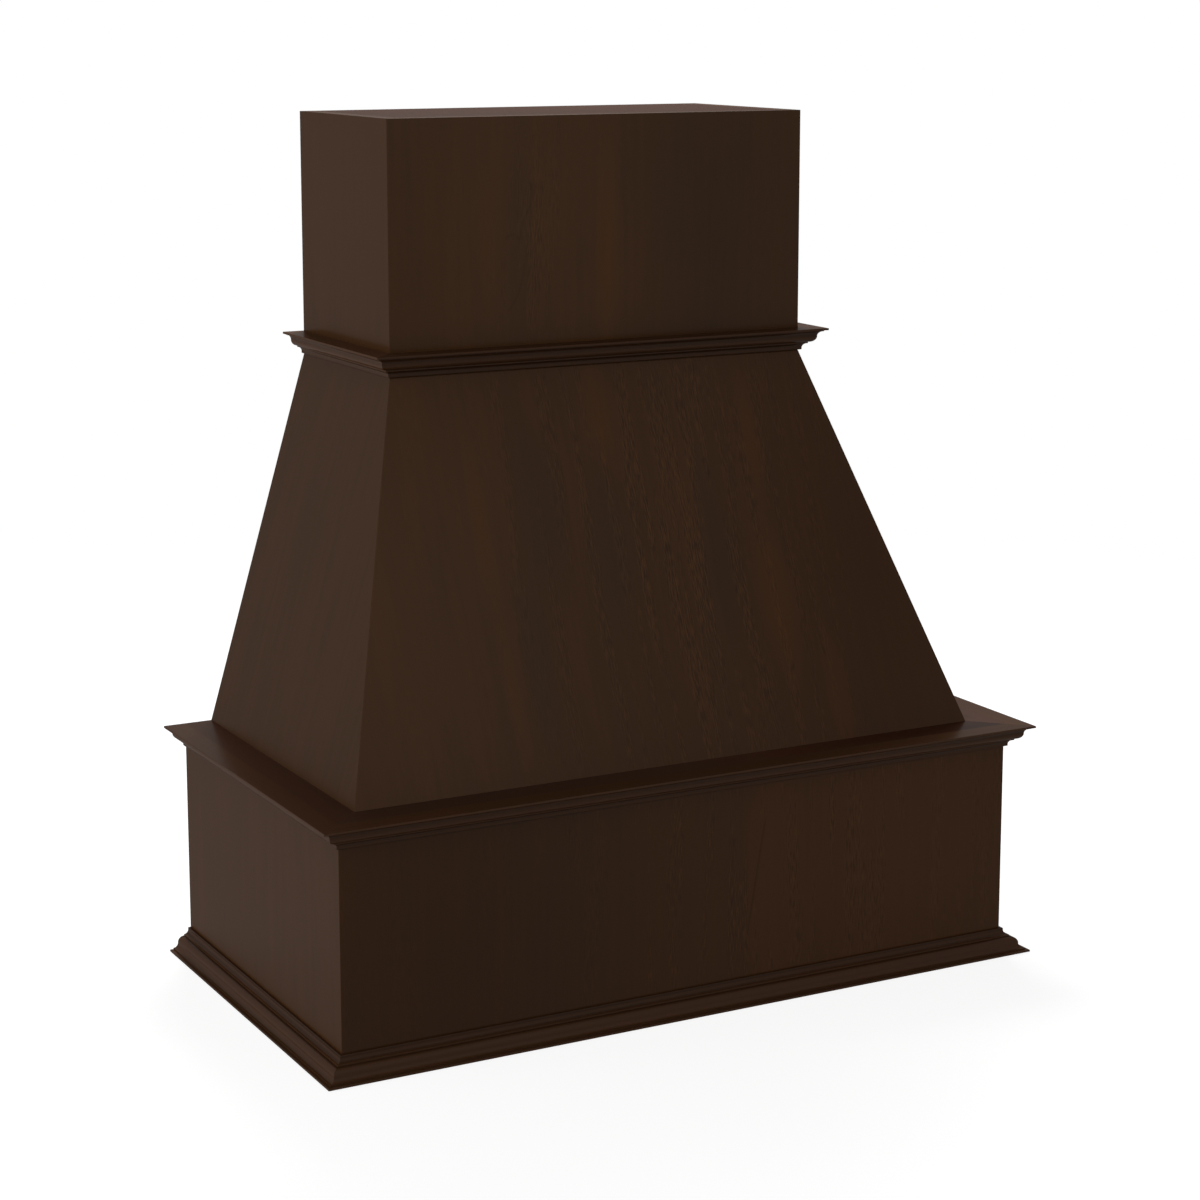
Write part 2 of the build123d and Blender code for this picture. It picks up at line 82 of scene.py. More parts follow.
def boardPlace(tree, origin, grain, outward):
    # reads a board in millimetres: x across the grain, y along it, z out of its face
    turn = Matrix((grain.cross(outward), grain, outward)).transposed().to_euler()
    place = addNode(tree, "TexCoord", {})
    return addNode(tree, "Mapping", {
        "vector_type": "TEXTURE",
        "Vector": place.outputs["Object"],
        "Location": origin,
        "Rotation": turn,
        "Scale": (millimetre,) * 3,
    })


# The layers of wood figure: millimetres across and along the grain, seed, detail and roughness of the
# noise. Real pores are about 0.05 mm wide and growth lines 0.5 mm apart. Both are drawn coarser here,
# so that they show from 3 m away. The pores come in clusters. Sway and ripple push the others aside.
figureLayers = {
    "sway": (150, 420, 26, 1.0, 0.5),
    "ripple": (17, 60, 5, 1.0, 0.5),
    "blotch": (34, 170, 1.7, 2.0, 0.5),
    "band": (8, 210, 3.1, 3.0, 0.6),
    "line": (2.2, 42, 5.3, 2.0, 0.6),
    "cluster": (17, 300, 6.1, 1.0, 0.5),
    "pore": (1.3, 15, 7.9, 1.0, 0.5),
}
# What they do. Sway and ripple are in millimetres of drift, warmth counts up to fullWarmth, which
# gives the warm colour alone, and light is a share of the colour.
figureReach = {
    "sway": 26,
    "ripple": 5,
    "open": (0.44, 0.6),  # the clusters' noise, from where the grain is closed to where it is open
    "warmth": {"band": 0.2, "blotch": 0.3, "pore": 0.2, "streak": 0.3},
    "fullWarmth": 0.4,
    "bandLight": 0.03,
    "lineLight": 0.05,
    "poreNoise": (0.34, 0.66),  # gives the two values of poreLight
    "poreLight": (-0.2, 0.24),
    "markEnd": 0.06,  # the share of a mark's run over which it fades in and out
}
# A board's figure where nothing else is given: how open its grain is, how light and how warm it is,
# and its share of the coat's weight. How light it is holds painted light and shade: side, top and
# shelf boards are made lighter or darker for how light falls on them.
plainFigure = {
    "grain": 0.5, "toneAndShade": 1.0, "warmer": 0.05, "coat": 1.0, "openAreas": (), "streaks": (), "marks": (),
}


def grainLayer(tree, board, name, seed):
    across, along, ownSeed, detail, roughness = figureLayers[name]
    stretched = addNode(tree, "VectorMath", {
        "operation": "MULTIPLY", 0: board, 1: (1 / across, 1 / along, 1 / across),
    })
    return addNode(tree, "TexNoise", {
        "noise_dimensions": "4D", "Vector": stretched, "W": seed + ownSeed,
        "Scale": 1.0, "Detail": detail, "Roughness": roughness,
    })


def softPatch(tree, board, across, along, halfAcross, halfAlong):
    # a soft patch on a board, 1 at its middle and 0 at its edge
    throughTheBoard = 1000  # so deep that depth doesn't count
    spread = addNode(tree, "Mapping", {
        "vector_type": "TEXTURE", "Vector": board,
        "Location": (across, along, 0), "Scale": (halfAcross, halfAlong, throughTheBoard),
    })
    return addNode(tree, "TexGradient", {"gradient_type": "SPHERICAL", "Vector": spread})


def thinMark(tree, board, mark):
    # A dark hairline, 1 along its middle. Its path gives where it is sideways for each part of its run,
    # both as shares of the two ranges.
    run, sideways = ("Y", "X") if mark["upright"] else ("X", "Y")
    parts = addNode(tree, "SeparateXYZ", {0: board})
    place = addNode(tree, "MapRange", {
        "Value": parts.outputs[run], 1: mark["run"][0], 2: mark["run"][1],
    })
    course = addNode(tree, "FloatCurve", {"Value": place, "path": mark["path"]})
    course = addNode(tree, "MapRange", {
        "Value": course, 3: mark["sideways"][0], 4: mark["sideways"][1],
    })
    away = addNode(tree, "Math", {"operation": "SUBTRACT", 0: parts.outputs[sideways], 1: course})
    away = addNode(tree, "Math", {"operation": "ABSOLUTE", 0: away})
    line = addNode(tree, "MapRange", {
        "interpolation_type": "SMOOTHSTEP", "Value": away, 1: 0.0, 2: mark["halfWidth"], 3: 1.0, 4: 0.0,
    })
    ends = addNode(tree, "Math", {"operation": "PINGPONG", 0: place, 1: 0.5})
    ends = addNode(tree, "MapRange", {"Value": ends, 1: 0.0, 2: figureReach["markEnd"]})
    return addNode(tree, "Math", {"operation": "MULTIPLY", 0: line, 1: ends})


def woodFigure(tree, board, seed, figure):
    # The nodes for how warm the colour is, how light it is and how high the surface stands. A streak is
    # its place across and along the board, half its width and length, and how much warmer and lighter.
    # An open area is the same place and size, and how much more open the grain is in its middle.
    swayed = board
    for name in ("sway", "ripple"):
        reach = figureReach[name]
        drift = grainLayer(tree, board, name, seed)
        swayed = addNode(tree, "VectorMath", {
            "operation": "MULTIPLY_ADD", 0: drift.outputs["Color"], 1: (reach, 0, 0), 2: swayed,
        })
        swayed = addNode(tree, "VectorMath", {
            "operation": "SUBTRACT", 0: swayed, 1: (reach / 2, 0, 0),
        })
    blotch, band, line, cluster, pore = [
        grainLayer(tree, swayed, name, seed) for name in ("blotch", "band", "line", "cluster", "pore")
    ]

    openGrain = addNode(tree, "MapRange", {
        "interpolation_type": "SMOOTHSTEP", "Value": cluster,
        1: figureReach["open"][0], 2: figureReach["open"][1],
    })
    grainShare = figure["grain"]
    for across, along, halfAcross, halfAlong, more in figure["openAreas"]:
        middle = softPatch(tree, board, across, along, halfAcross, halfAlong)
        grainShare = addNode(tree, "Math", {
            "operation": "MULTIPLY_ADD", 0: middle, 1: more, 2: grainShare,
        })
    openGrain = addNode(tree, "Math", {"operation": "MULTIPLY", 0: openGrain, 1: grainShare})

    share = figureReach["warmth"]
    warmth = addNode(tree, "Math", {
        "operation": "MULTIPLY_ADD", 0: band, 1: share["band"],
        2: figure["warmer"] - noiseSpan["mean"] * share["band"],
    })
    warmth = addNode(tree, "Math", {
        "operation": "MULTIPLY_ADD", 0: blotch, 1: share["blotch"], 2: warmth,
    })
    poreWarmth = addNode(tree, "Math", {
        "operation": "MULTIPLY_ADD", 0: pore, 1: 2 * share["pore"], 2: -share["pore"],
    })
    warmth = addNode(tree, "Math", {
        "operation": "MULTIPLY_ADD", 0: poreWarmth, 1: openGrain, 2: warmth,
    })
    # the board's tone holds painted light and shade for its side and place, and wide streaks add more
    toneAndShade = figure["toneAndShade"]
    for across, along, halfAcross, halfAlong, warmer, lighter in figure["streaks"]:
        shape = softPatch(tree, swayed, across, along, halfAcross, halfAlong)
        if warmer:
            warmth = addNode(tree, "Math", {
                "operation": "MULTIPLY_ADD", 0: shape, 1: share["streak"] * warmer, 2: warmth,
            })
        if lighter:
            toneAndShade = addNode(tree, "Math", {
                "operation": "MULTIPLY_ADD", 0: shape, 1: lighter, 2: toneAndShade,
            })
    for mark in figure["marks"]:
        toneAndShade = addNode(tree, "Math", {
            "operation": "MULTIPLY_ADD", 0: thinMark(tree, board, mark), 1: -mark["depth"], 2: toneAndShade,
        })
    warmth = addNode(tree, "MapRange", {"Value": warmth, 1: 0.0, 2: figureReach["fullWarmth"]})

    low, high = noiseSpan["low"], noiseSpan["high"]
    bandLight = addNode(tree, "MapRange", {
        "Value": band, 1: low, 2: high,
        3: 1 - figureReach["bandLight"], 4: 1 + figureReach["bandLight"],
    })
    lineLight = addNode(tree, "MapRange", {
        "Value": line, 1: low, 2: high, 3: -figureReach["lineLight"], 4: figureReach["lineLight"],
    })
    poreLight = addNode(tree, "MapRange", {
        "Value": pore, 1: figureReach["poreNoise"][0], 2: figureReach["poreNoise"][1],
        3: figureReach["poreLight"][0], 4: figureReach["poreLight"][1],
    })
    fineLight = addNode(tree, "Math", {"operation": "ADD", 0: lineLight, 1: poreLight})
    fineLight = addNode(tree, "Math", {
        "operation": "MULTIPLY_ADD", 0: fineLight, 1: openGrain, 2: 1.0,
    })
    light = addNode(tree, "Math", {"operation": "MULTIPLY", 0: bandLight, 1: fineLight})
    light = addNode(tree, "Math", {"operation": "MULTIPLY", 0: light, 1: toneAndShade})
    relief = addNode(tree, "Math", {"operation": "MULTIPLY", 0: pore, 1: openGrain})
    return warmth, light, relief


# Dark brown stain on cherry under one thin coat of satin lacquer. The stain hides most of the figure,
# and leaves warmer and cooler streaks that follow the grain. The open grain breaks up the film, so
# it mirrors about an eighth of what a full film of IOR 1.5 would.
stain = {
    "veneer": {"cool": linearColour("#3b2716"), "warm": linearColour("#452a14")},
    # the shelf and moulding colours are greyer copies of the veneer's, partly painted reflection and
    # shade
    "shelf": {"cool": linearColour("#39261c"), "warm": linearColour("#41271a")},
    "moulding": {"cool": linearColour("#3b291a"), "warm": linearColour("#422818")},
    "coatWeight": 0.13,
    "coatRoughness": 0.24,
    "coatIor": 1.5,
    "roughness": 0.5,
    "relief": 0.00012,
    "edgeDepth": 0.5,  # mm along the grain that a stained edge takes in
}
# The film is thin on the rounded corners, and the colour there is darkened as painted shade.
# Millimetres under the board's face: where the rounding's middle lies, and how far from it the film
# is thinnest and full again. The last number is the share of film and light that is left.
easedCorner = {"middle": 0.55, "thinnest": 0.1, "full": 0.5, "leastFilmAndShade": 0.4}
rawCherry = {"cool": linearColour("#b98d66"), "warm": linearColour("#c49a70")}
# Plies in turn with and across the grain, with a dark line of glue between them
plyCore = {
    "thickness": 19.05,
    "ply": 2.1,
    "face": 1.3,
    "stops": (
        (0.0, linearColour("#6b4a30")),
        (0.04, linearColour("#c9a678")),
        (0.46, linearColour("#c3a074")),
        (0.50, linearColour("#6b4a30")),
        (0.54, linearColour("#a37f57")),
        (0.97, linearColour("#9c7a52")),
        (1.0, linearColour("#6b4a30")),
    ),
}


def lacquered(tree, shader, colour, relief, weight=None):
    bump = addNode(tree, "Bump", {"Strength": 1.0, "Distance": stain["relief"], "Height": relief})
    tree.links.new(colour, shader.inputs["Base Color"])
    tree.links.new(bump.outputs[0], shader.inputs["Normal"])
    tree.links.new(bump.outputs[0], shader.inputs["Coat Normal"])
    shader.inputs["Roughness"].default_value = stain["roughness"]
    shader.inputs["Specular IOR Level"].default_value = 0.0
    shader.inputs["Coat Roughness"].default_value = stain["coatRoughness"]
    shader.inputs["Coat IOR"].default_value = stain["coatIor"]
    if weight is None:
        shader.inputs["Coat Weight"].default_value = stain["coatWeight"]
    else:
        tree.links.new(weight, shader.inputs["Coat Weight"])


def tinted(tree, warmth, light, look):
    mixed = addNode(tree, "Mix", {"data_type": "RGBA", 0: warmth, 6: look["cool"], 7: look["warm"]})
    return addNode(tree, "Mix", {
        "data_type": "RGBA", "blend_type": "MULTIPLY", 0: 1.0, 6: mixed.outputs[2], 7: light,
    }).outputs[2]


def stainedVeneer(name, origin, grain, outward, seed, stainedEdge, figure, tint):
    # plywood with a cherry veneer, stained outside and on the edges that show, raw inside
    material, tree, shader = startMaterial(name)
    board = boardPlace(tree, origin, grain, outward)
    warmth, light, relief = woodFigure(tree, board, seed, figure)
    parts = addNode(tree, "SeparateXYZ", {0: board})
    stained = addNode(tree, "Math", {
        "operation": "GREATER_THAN", 0: parts.outputs["Z"], 1: -plyCore["face"],
    })
    if stainedEdge:
        edge = addNode(tree, "Math", {
            "operation": stainedEdge[0], 0: parts.outputs["Y"], 1: stainedEdge[1],
        })
        stained = addNode(tree, "Math", {"operation": "MAXIMUM", 0: stained, 1: edge})
    inner = addNode(tree, "Math", {
        "operation": "LESS_THAN", 0: parts.outputs["Z"], 1: plyCore["face"] - plyCore["thickness"],
    })
    plies = addNode(tree, "Math", {
        "operation": "MULTIPLY", 0: parts.outputs["Z"], 1: -1 / (2 * plyCore["ply"]),
    })
    plies = addNode(tree, "Math", {"operation": "FRACT", 0: plies})
    plies = addNode(tree, "ValToRGB", {"Fac": plies, "stops": plyCore["stops"]})
    raw = tinted(tree, warmth, light, rawCherry)
    core = addNode(tree, "Mix", {"data_type": "RGBA", 0: inner, 6: plies, 7: raw})

    cornerFilmAndShade = addNode(tree, "Math", {
        "operation": "ADD", 0: parts.outputs["Z"], 1: easedCorner["middle"],
    })
    cornerFilmAndShade = addNode(tree, "Math", {"operation": "ABSOLUTE", 0: cornerFilmAndShade})
    cornerFilmAndShade = addNode(tree, "MapRange", {
        "Value": cornerFilmAndShade, 1: easedCorner["thinnest"], 2: easedCorner["full"],
        3: easedCorner["leastFilmAndShade"], 4: 1.0,
    })
    # painted shade: the colour is darkened along the rounded corners
    light = addNode(tree, "Math", {"operation": "MULTIPLY", 0: light, 1: cornerFilmAndShade})
    dark = tinted(tree, warmth, light, stain[tint])
    colour = addNode(tree, "Mix", {"data_type": "RGBA", 0: stained, 6: core.outputs[2], 7: dark})
    weight = addNode(tree, "Math", {"operation": "MULTIPLY", 0: stained, 1: stain["coatWeight"]})
    weight = addNode(tree, "Math", {"operation": "MULTIPLY", 0: weight, 1: cornerFilmAndShade})
    weight = addNode(tree, "Math", {"operation": "MULTIPLY", 0: weight, 1: figure["coat"]})
    lacquered(tree, shader, colour.outputs[2], relief, weight.outputs[0])
    return material


def dress(node, material):
    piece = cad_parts[node]
    piece.data.materials.clear()
    piece.data.materials.append(material)


def outerPoint(node, outward):
    # a point on a board's outer face, at its foot
    low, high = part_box(node)
    return Vector((low.x if outward.x < 0 else high.x if outward.x > 0 else 0, low.y, low.z))


canopyLow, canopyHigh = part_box("canopy_front")
chimneyLow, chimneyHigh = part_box("chimney_front")
canopyRise = canopyHigh.z - canopyLow.z
frontLean = atan2(chimneyLow.y - canopyLow.y, canopyRise)
sideLean = atan2(canopyHigh.x - chimneyHigh.x, canopyRise)
chimneyRise = (chimneyHigh.z - chimneyLow.z) / millimetre

# Upright panels: how far the front and the sides lean, and the edge that is stained like the face
panels = {
    "apron": {"lean": (0, 0), "seed": 11.0, "stainedEdge": ("LESS_THAN", stain["edgeDepth"])},
    "canopy": {"lean": (frontLean, sideLean), "seed": 23.0, "stainedEdge": None},
    "chimney": {
        "lean": (0, 0), "seed": 37.0, "stainedEdge": ("GREATER_THAN", chimneyRise - stain["edgeDepth"]),
    },
}
# Level boards: the way their grain runs
levelBoards = {"shelf_front": right, "shelf_left": back, "shelf_right": back, "chimney_top": right}
# Each board's noise has a seed of its own, one step after that of the board before it
seedStep = {"panel": 2.3, "level": 3.1, "moulding": 2.9, "poplar": 4.7, "pine": 5.1}
firstSeed = {"level": 51.0, "poplar": 120.0, "pine": 260.0}

# What the photograph shows on each board, in millimetres from the middle of its foot, or from the
# object's middle on a level board: warmer (above 0) and cooler streaks, the areas where the grain is
# most open, and the fine mineral marks. The widest streaks, a few hundred millimetres across, are
# painted light and shade that make a face lighter towards one side and darker towards the other.
figures = {
    "canopy_front": {
        "grain": 0.25, "toneAndShade": 0.95, "warmer": -0.02,
        "streaks": (
            (-198, 322, 18, 150, 0.9, 0.05), (-198, 110, 14, 120, 1.0, 0.03),
            (184, 180, 28, 120, 1.4, 0.08), (-14, 427, 32, 90, 0.7, 0.04),
            (70, 330, 40, 150, 0.35, 0.02), (190, 385, 16, 110, 1.2, 0.06),
            # the second patch on the next line is painted shade, darkening the right half of the face
            (245, 60, 24, 100, 1.0, 0.04), (330, 200, 230, 560, 0.7, -0.31),
            (-122, 328, 46, 130, -1.0, 0.0), (-33, 270, 34, 160, -0.8, 0.0),
            (112, 256, 26, 150, -1.0, -0.04), (-158, 148, 24, 130, -0.8, 0.0),
            # painted light, lightening the left half of the face
            (-360, 230, 230, 600, 0.0, 0.24),
        ),
        "openAreas": ((60, 250, 290, 620, 1.6),),
    },
    "canopy_left": {"grain": 0.15, "toneAndShade": 0.81, "warmer": 0.04},
    "chimney_front": {
        "grain": 0.2, "toneAndShade": 0.91, "warmer": 0.0, "coat": 1.15,
        "streaks": (
            (-213, 207, 80, 300, 0.1, 0.0), (7, 155, 22, 150, 0.75, 0.08),
            # the darkening of the second patch on the next line is painted shade over the right side
            (-114, 166, 26, 200, -0.6, 0.0), (150, 169, 150, 330, -0.55, -0.06),
            # painted light, lightening the left side of the face
            (-110, 165, 270, 320, -0.1, 0.27),
        ),
        "openAreas": ((-90, 150, 70, 200, 0.9),),
        "marks": (
            {
                "upright": True, "run": (154, 228), "sideways": (-116, -94),
                "halfWidth": 2.6, "depth": 0.16,
                "path": ((0.0, 0.09), (0.378, 0.455), (0.716, 0.909), (1.0, 0.727)),
            },
            {
                "upright": False, "run": (-133, -114), "sideways": (152, 166),
                "halfWidth": 2.6, "depth": 0.16,
                "path": ((0.0, 0.357), (0.63, 0.786), (1.0, 0.143)),
            },
            {
                "upright": True, "run": (69, 132), "sideways": (-132, -103),
                "halfWidth": 2.6, "depth": 0.16,
                "path": ((0.0, 0.069), (0.19, 0.379), (0.476, 0.69), (1.0, 0.93)),
            },
            {
                "upright": False, "run": (-69, -51), "sideways": (142, 145),
                "halfWidth": 1.8, "depth": 0.12,
                "path": ((0.0, 0.6), (1.0, 0.4)),
            },
        ),
    },
    "chimney_left": {"grain": 0.15, "toneAndShade": 0.88, "warmer": 0.06},
    "apron_front": {
        "grain": 0.3, "toneAndShade": 0.87, "warmer": 0.08, "coat": 1.04,
        "streaks": (
            (110, 156, 44, 240, 1.6, 0.05), (301, 152, 240, 400, 1.1, 0.03),
            (-396, 196, 110, 300, 0.0, 0.02), (-178, 186, 130, 300, -0.4, 0.02),
            # painted shade, darker towards the left end of the face
            (-330, 140, 330, 500, 0.0, -0.16),
        ),
        "openAreas": ((150, 150, 400, 460, 1.2),),
        "marks": (
            {
                "upright": True, "run": (81, 227), "sideways": (76, 105),
                "halfWidth": 2.6, "depth": 0.18,
                "path": ((0.0, 0.069), (0.61, 0.586), (1.0, 0.93)),
            },
        ),
    },
    "apron_left": {"grain": 0.12, "toneAndShade": 0.87, "warmer": 0.14},
    "shelf_front": {
        "grain": 0.4, "toneAndShade": 0.93,
        # these patches are partly painted shade and reflection, darkest towards the board's right end
        "streaks": (
            (225, 230, 120, 330, 1.2, -0.1), (225, 420, 120, 330, 0.0, -0.45),
            (225, -300, 160, 420, -1.1, -0.06), (225, 10, 120, 190, -1.0, 0.12),
        ),
    },
    "shelf_left": {"grain": 0.3, "toneAndShade": 0.8, "coat": 0.88},
    "shelf_right": {"grain": 0.3, "toneAndShade": 1.16, "coat": 1.05},
    "chimney_top": {"grain": 0.3, "toneAndShade": 0.82, "warmer": 0.14, "coat": 0.68},
}
sides = {"front": -back, "left": -right, "right": right}
for part, look in panels.items():
    for number, (side, flatOut) in enumerate(sides.items()):
        node = f"{part}_{side}"
        lean = look["lean"][0 if side == "front" else 1]
        outward = flatOut * cos(lean) + up * sin(lean)
        grain = up * cos(lean) - flatOut * sin(lean)
        dress(node, stainedVeneer(
            f"Dark stained cherry veneer on plywood, {part} {side}",
            outerPoint(node, flatOut), grain, outward, look["seed"] + seedStep["panel"] * number,
            look["stainedEdge"], {**plainFigure, **figures.get(node, {})}, "veneer",
        ))
for number, (node, grain) in enumerate(levelBoards.items()):
    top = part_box(node)[1].z
    dress(node, stainedVeneer(
        f"Dark stained cherry veneer on plywood, {node.replace('_', ' ')}",
        Vector((0, 0, top)), grain, up, firstSeed["level"] + seedStep["level"] * number,
        None, {**plainFigure, **figures.get(node, {})}, "shelf",
    ))
print("panels dressed")


# The mouldings are solid cherry, which takes the stain lighter than the veneer does. The stain pools in
# the quirks, which read as dark lines. The ramp also holds painted shade: it is darker below a crown's
# lip and towards the toe, where the moulding meets the panel. The ramp is along the section's height,
# from its lip to its toe. Above it lies the flat ledge behind the lip.
mouldingHeight = 28.575
mouldingGrain = 0.25
ledgeEnd = 0.01
stainAndShadeRamps = {
    "base": (
        (0.02, 0.95), (0.085, 0.95), (0.10, 0.80), (0.143, 0.85), (0.18, 0.88), (0.34, 0.98),
        (0.43, 1.0), (0.55, 0.87), (0.60, 0.86), (0.625, 0.79), (0.642, 0.52), (0.66, 0.95),
        (0.71, 0.95), (0.735, 0.68), (0.756, 0.52), (0.80, 0.69), (0.85, 0.78), (0.92, 0.62),
        (1.0, 0.62),
    ),
    "crown": (
        (0.02, 0.79), (0.05, 0.84), (0.085, 0.93), (0.10, 0.80), (0.143, 0.84), (0.18, 0.84),
        (0.25, 0.76), (0.30, 0.72), (0.37, 0.75), (0.43, 0.83), (0.50, 0.98), (0.55, 1.0),
        (0.62, 0.92), (0.642, 0.52), (0.66, 1.0), (0.71, 1.0), (0.735, 0.80), (0.77, 0.60),
        (0.85, 0.70), (0.92, 0.76), (1.0, 0.60),
    ),
}


def stainedMoulding(name, origin, grain, outward, seed, toneAndShade, ledge, ramp):
    material, tree, shader = startMaterial(name)
    board = boardPlace(tree, origin, grain, outward)
    figure = {**plainFigure, "grain": mouldingGrain, "toneAndShade": toneAndShade}
    warmth, light, relief = woodFigure(tree, board, seed, figure)
    parts = addNode(tree, "SeparateXYZ", {0: board})
    drop = addNode(tree, "Math", {"operation": "ABSOLUTE", 0: parts.outputs["X"]})
    drop = addNode(tree, "Math", {"operation": "MULTIPLY", 0: drop, 1: 1 / mouldingHeight})
    # the ledge's lightness is painted shade for its side
    shares = ((0.0, ledge / toneAndShade), (ledgeEnd, ledge / toneAndShade), *ramp)
    # the stain in the quirks, with painted shade under the lip and at the toe
    stainAndShade = addNode(tree, "ValToRGB", {
        "Fac": drop, "stops": [(place, grey(share)) for place, share in shares],
    })
    light = addNode(tree, "Math", {"operation": "MULTIPLY", 0: light, 1: stainAndShade})
    lacquered(tree, shader, tinted(tree, warmth, light, stain["moulding"]), relief)
    return material


# How light the front, left and right lengths are, and how light their ledges are. Apart from the
# mouldings' lighter stain, these are painted light and shade for how light falls on each side and
# ledge.
mouldings = {
    "base_moulding": {
        "lipUp": False, "seed": 71.0, "ramp": "base",
        "sideTonesAndShades": (1.13, 1.07, 1.08), "ledgeTonesAndShades": (1.0, 1.0, 1.0),
    },
    "middle_crown": {
        "lipUp": True, "seed": 83.0, "ramp": "crown",
        "sideTonesAndShades": (1.33, 1.35, 1.35), "ledgeTonesAndShades": (0.87, 0.85, 1.15),
    },
    "upper_crown": {
        "lipUp": True, "seed": 97.0, "ramp": "crown",
        "sideTonesAndShades": (1.0, 1.44, 1.4), "ledgeTonesAndShades": (0.8, 1.1, 1.1),
    },
}
for part, look in mouldings.items():
    for number, (side, outward) in enumerate(sides.items()):
        node = f"{part}_{side}"
        low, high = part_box(node)
        origin = outerPoint(node, outward)
        origin.z = high.z if look["lipUp"] else low.z
        dress(node, stainedMoulding(
            f"Dark stained cherry moulding, {node.replace('_', ' ')}",
            origin, right if side == "front" else back, outward,
            look["seed"] + seedStep["moulding"] * number,
            look["sideTonesAndShades"][number], look["ledgeTonesAndShades"][number], stainAndShadeRamps[look["ramp"]],
        ))
print("mouldings dressed")


def rawWood(name, origin, grain, outward, seed, look):
    material, tree, shader = startMaterial(name)
    board = boardPlace(tree, origin, grain, outward)
    warmth, light, relief = woodFigure(tree, board, seed, plainFigure)
    bump = addNode(tree, "Bump", {"Strength": 1.0, "Distance": look["relief"], "Height": relief})
    tree.links.new(tinted(tree, warmth, light, look), shader.inputs["Base Color"])
    tree.links.new(bump.outputs[0], shader.inputs["Normal"])
    shader.inputs["Roughness"].default_value = look["roughness"]
    shader.inputs["IOR"].default_value = look["ior"]
    return material


# Planed poplar, pale with a green cast, left raw inside
poplar = {
    "cool": linearColour("#a89c74"),
    "warm": linearColour("#c8b48c"),
    "roughness": 0.72,
    "ior": 1.5,
    "relief": 0.0001,
    "acrossTheBack": (
        "apron_back_rail", "chimney_back_rail", "chimney_foot_rail", "canopy_neck_rail",
        "canopy_foot_rail", "ledger_front", "ledger_back", "shelf_cleat_front", "foot_strip_front",
        "neck_strip_front", "chimney_cleat_front", "top_cleat_front",
    ),
    "alongTheSides": (
        "ledger", "shelf_cleat", "foot_strip", "neck_strip", "chimney_cleat", "top_cleat",
    ),
}
lengthways = {node: right for node in poplar["acrossTheBack"]}
for part in poplar["alongTheSides"]:
    lengthways.update({f"{part}_{side}": back for side in ("left", "right")})
for number, (node, grain) in enumerate(lengthways.items()):
    dress(node, rawWood(
        f"Planed poplar, {node.replace('_', ' ')}",
        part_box(node)[0], grain, up, firstSeed["poplar"] + seedStep["poplar"] * number, poplar,
    ))

# Sawn pine, yellower, with its grain upright in the corners
pine = {
    "cool": linearColour("#b98a52"),
    "warm": linearColour("#d9b27a"),
    "roughness": 0.8,
    "ior": 1.5,
    "relief": 0.0002,
    "blocks": ("apron_corner_blocks", "canopy_corner_blocks", "chimney_corner_blocks"),
}
for number, node in enumerate(pine["blocks"]):
    dress(node, rawWood(
        f"Sawn pine, {node.replace('_', ' ')}",
        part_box(node)[0], up, back, firstSeed["pine"] + seedStep["pine"] * number, pine,
    ))
print("inside woods dressed")

# Zinc-plated steel screws: a dull blue-grey plate, cloudy in patches a few millimetres across
zincPlate = {
    "clear": linearColour("#a9adb3"),
    "cloud": linearColour("#8c9096"),
    "cloudSize": 2.5,
    "cloudDetail": 2.0,
    "roughness": (0.28, 0.46),
    "screws": ("ledger_screws", "shelf_cleat_screws", "foot_screws", "neck_screws", "top_screws"),
}
material, tree, shader = startMaterial("Zinc-plated steel")
place = addNode(tree, "TexCoord", {})
cloud = addNode(tree, "TexNoise", {
    "Vector": place.outputs["Object"],
    "Scale": 1 / (zincPlate["cloudSize"] * millimetre), "Detail": zincPlate["cloudDetail"],
})
plate = addNode(tree, "Mix", {
    "data_type": "RGBA", 0: cloud, 6: zincPlate["clear"], 7: zincPlate["cloud"],
})
dull = addNode(tree, "MapRange", {
    "Value": cloud, 1: noiseSpan["low"], 2: noiseSpan["high"],
    3: zincPlate["roughness"][0], 4: zincPlate["roughness"][1],
})
tree.links.new(plate.outputs[2], shader.inputs["Base Color"])
tree.links.new(dull.outputs[0], shader.inputs["Roughness"])
shader.inputs["Metallic"].default_value = 1.0
for node in zincPlate["screws"]:
    dress(node, material)
print("screws dressed")


def seesBackground(tree):
    # 1 for the rays that show the background: straight from the camera, mirrored or through glass
    path = addNode(tree, "LightPath", {})
    seen = addNode(tree, "Math", {
        "operation": "MAXIMUM", 0: path.outputs["Is Camera Ray"], 1: path.outputs["Is Glossy Ray"],
    })
    return addNode(tree, "Math", {
        "operation": "MAXIMUM", 0: seen, 1: path.outputs["Is Transmission Ray"],
    })


# The floor. The camera and the lacquer see it white, with the object's soft shadow on it near the
# object. The light that it throws back on the object is that of a grey studio floor.
floor = {
    "half": 9.0,
    "drop": 0.0006,
    "shadowShare": 0.26,
    "glow": 0.84,
    "plainFrom": 1.5,
    "plainTo": 3.2,
    "studio": 0.4,
}
floorCorners = [
    (x * floor["half"], y * floor["half"], -floor["drop"])
    for x, y in ((-1, -1), (1, -1), (1, 1), (-1, 1))
]
floorMesh = bpy.data.meshes.new("floor")
floorMesh.from_pydata(floorCorners, [], [(0, 1, 2, 3)])
floorPlane = bpy.data.objects.new("floor", floorMesh)
scene = bpy.context.scene
scene.collection.objects.link(floorPlane)
floorMaterial, tree, shader = startMaterial("Matt white studio floor")
tree.nodes.remove(shader)
output = tree.nodes["Material Output"]
place = addNode(tree, "TexCoord", {})
distance = addNode(tree, "VectorMath", {"operation": "LENGTH", 0: place.outputs["Object"]})
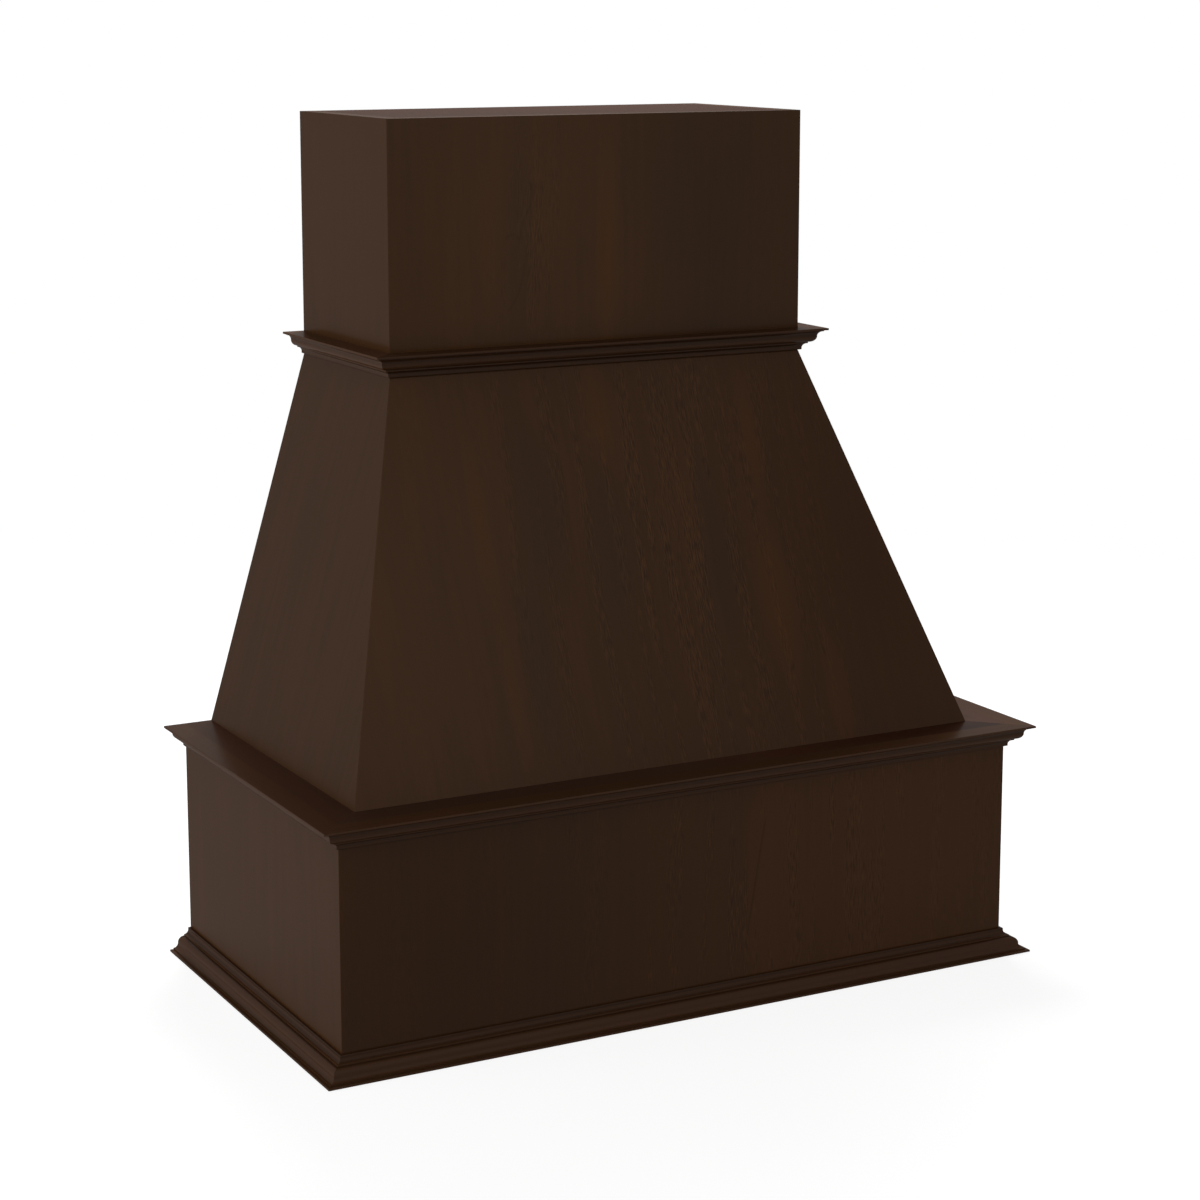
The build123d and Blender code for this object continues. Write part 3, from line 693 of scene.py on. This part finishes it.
plain = addNode(tree, "MapRange", {
    "interpolation_type": "SMOOTHSTEP", "Value": distance.outputs["Value"],
    1: floor["plainFrom"], 2: floor["plainTo"],
})
shadowed = addNode(tree, "BsdfDiffuse", {"Color": grey(floor["shadowShare"])})
glow = addNode(tree, "Emission", {"Color": grey(floor["glow"])})
near = addNode(tree, "AddShader", {0: shadowed, 1: glow})
far = addNode(tree, "Emission", {"Color": grey(1.0)})
seen = addNode(tree, "MixShader", {0: plain, 1: near, 2: far})
studio = addNode(tree, "BsdfDiffuse", {"Color": grey(floor["studio"])})
both = addNode(tree, "MixShader", {0: seesBackground(tree), 1: studio, 2: seen})
tree.links.new(both.outputs[0], output.inputs["Surface"])
floorMesh.materials.append(floorMaterial)

# The backdrop is the world: white to the camera and in the lacquer. Its light on the object is that of
# a dim studio with soft walls of light. Each faces the object from one direction and fades out around
# it.
backdrop = {
    "even": 0.03,
    "walls": (
        {"towards": (-1, 0, 0), "fade": 2, "level": 1.56},
        {"towards": (0, -0.98, 0.2), "fade": 4, "level": 0.58},
        {"towards": (0.46, 0.84, 0.29), "fade": 8, "level": 0.34},
        {"towards": (1, 0, 0.1), "fade": 2, "level": 0.3},
        {"towards": (-0.39, 0.92, 0), "fade": 16, "level": 0.08},
    ),
}
world = bpy.data.worlds.new("soft studio")
scene.world = world
world.use_nodes = True
tree = world.node_tree
place = addNode(tree, "TexCoord", {})
soft = backdrop["even"]
for wall in backdrop["walls"]:
    facing = addNode(tree, "VectorMath", {
        "operation": "DOT_PRODUCT", 0: place.outputs["Generated"], 1: wall["towards"],
    })
    facing = addNode(tree, "Math", {"operation": "MAXIMUM", 0: facing.outputs["Value"], 1: 0.0})
    faded = addNode(tree, "Math", {"operation": "POWER", 0: facing, 1: wall["fade"]})
    soft = addNode(tree, "Math", {
        "operation": "MULTIPLY_ADD", 0: faded, 1: wall["level"], 2: soft,
    })
level = addNode(tree, "Mix", {"data_type": "FLOAT", 0: seesBackground(tree), 2: soft, 3: 1.0})
tree.links.new(level.outputs[0], tree.nodes["Background"].inputs["Color"])

# Soft square lamps, out of the camera's sight: place, side length in metres and power in watts
lamps = {
    "key": {"at": (-3.2, -0.3, 0.9), "side": 2.2, "power": 24},
    "near": {"at": (-0.9, -1.5, 1.9), "side": 0.9, "power": 5},
    "front": {"at": (0.45, -1.75, 1.4), "side": 0.8, "power": 1},
    "rear": {"at": (0.5, 1.25, 2.3), "side": 1.0, "power": 56},
    "high": {"at": (-0.2, 2.4, 3.2), "side": 2.2, "power": 7},
}
lampTarget = Vector((0, 0, 0.55))
for name, lamp in lamps.items():
    light = bpy.data.lights.new(name, "AREA")
    light.shape = "SQUARE"
    light.size = lamp["side"]
    light.energy = lamp["power"]
    holder = bpy.data.objects.new(name, light)
    holder.location = lamp["at"]
    holder.rotation_euler = (lampTarget - holder.location).to_track_quat("-Z", "Y").to_euler()
    holder.visible_camera = False
    scene.collection.objects.link(holder)

# The photograph's lens, place and turn. Its level lens was shifted down by half a frame, which would
# cut the other views, so most of that is replaced by a tilt.
view = {
    "at": (-1.5993, -2.969, 1.2),
    "turn": 28.31,
    "tilt": 9.85,
    "lens": 82.43,
    "sensor": 36,
    "shift": -0.1,
    "farthest": 100,
}
cameraData = bpy.data.cameras.new("photograph")
cameraData.sensor_width = view["sensor"]
cameraData.lens = view["lens"]
cameraData.shift_y = view["shift"]
cameraData.clip_end = view["farthest"]
camera = bpy.data.objects.new("photograph", cameraData)
camera.location = view["at"]
camera.rotation_euler = (radians(90 - view["tilt"]), 0, -radians(view["turn"]))
scene.collection.objects.link(camera)
scene.camera = camera
scene.view_settings.view_transform = "Standard"
print("stage, lamps and camera set")
